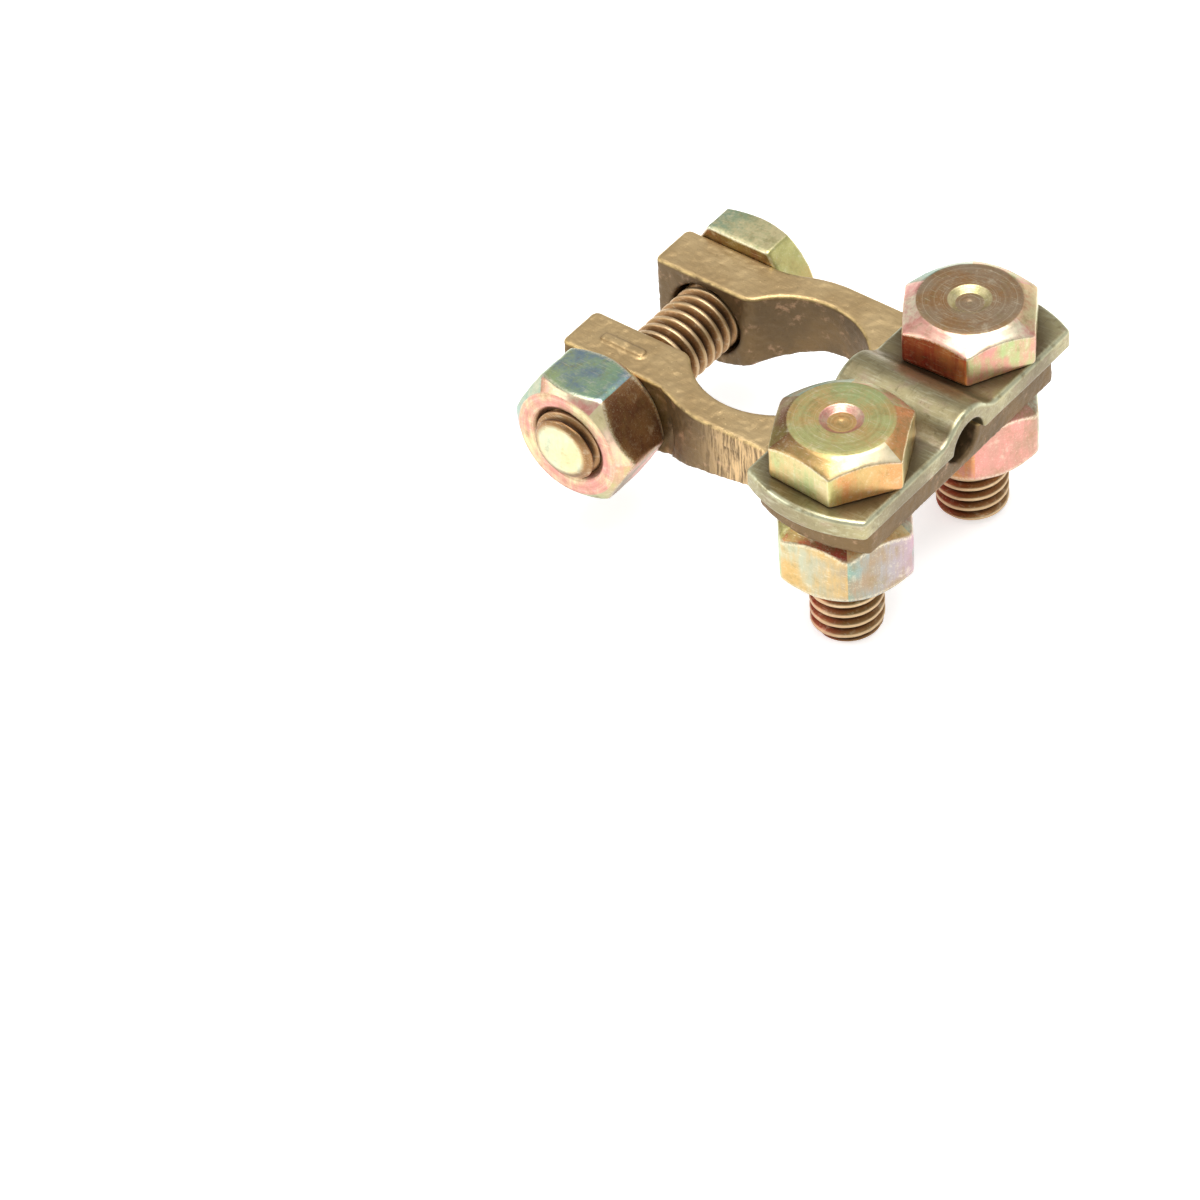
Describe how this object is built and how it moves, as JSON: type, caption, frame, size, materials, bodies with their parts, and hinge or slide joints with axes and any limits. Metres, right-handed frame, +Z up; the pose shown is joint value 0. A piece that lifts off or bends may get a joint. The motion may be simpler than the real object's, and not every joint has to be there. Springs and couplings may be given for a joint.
{
  "type": "battery terminal clamp",
  "caption": "Split-ring battery terminal clamp in cast brass, with a pinch bolt across the jaw and a bolted saddle plate that grips a cable.",
  "frame": {"origin": "on the post bore's axis, level with the casting's bottom face", "axes": "+Z up the post, towards the bolt heads; +X from the post to the cable; +Y across, towards the pinch bolt's head"},
  "size_m": [0.0462, 0.0405, 0.0283],
  "materials": {
    "cast_brass": "cast, ground on top",
    "saddle_steel": "yellow zinc plate, satin",
    "bolt_steel": "yellow zinc plate, satin",
    "nut_steel": "yellow zinc plate, satin"
  },
  "bodies": {
    "clamp": {"clamp_body": "cast_brass"},
    "saddle": {"saddle_plate": "saddle_steel", "cable_bolt_left": "bolt_steel", "cable_bolt_right": "bolt_steel"},
    "left_nut": {"cable_nut_left": "nut_steel"},
    "right_nut": {"cable_nut_right": "nut_steel"},
    "pinch_screw": {"pinch_bolt": "bolt_steel"},
    "pinch_nut": {"pinch_nut": "nut_steel"}
  },
  "joints": [
    {"name": "left_nut_turn", "type": "hinge", "parent": "clamp", "child": "left_nut", "pos_m": [0.0164, -0.01128, 0.003], "axis": [0, 0, -1], "range_deg": [0, 2880]},
    {"name": "right_nut_turn", "type": "hinge", "parent": "clamp", "child": "right_nut", "pos_m": [0.0164, 0.01128, 0.003], "axis": [0, 0, -1], "range_deg": [0, 2881]},
    {"name": "saddle_lift", "type": "slide", "parent": "clamp", "child": "saddle", "axis": [0, 0, 1], "range_m": [0, 0.0113]},
    {"name": "pinch_bolt_turn", "type": "hinge", "parent": "clamp", "child": "pinch_screw", "pos_m": [-0.0138, 0.0111, 0.0055], "axis": [0, 1, 0], "range_deg": [0, 1080]},
    {"name": "pinch_nut_travel", "type": "slide", "parent": "clamp", "child": "pinch_nut", "axis": [0, -1, 0], "range_m": [0, 0.00424]}
  ],
  "couplings": [
    {"joint": "right_nut_turn", "follows": "left_nut_turn", "ratio": 1},
    {"joint": "saddle_lift", "follows": "left_nut_turn", "m_per_rad": 0.00022459},
    {"joint": "pinch_nut_travel", "follows": "pinch_bolt_turn", "m_per_rad": 0.00022459}
  ]
}
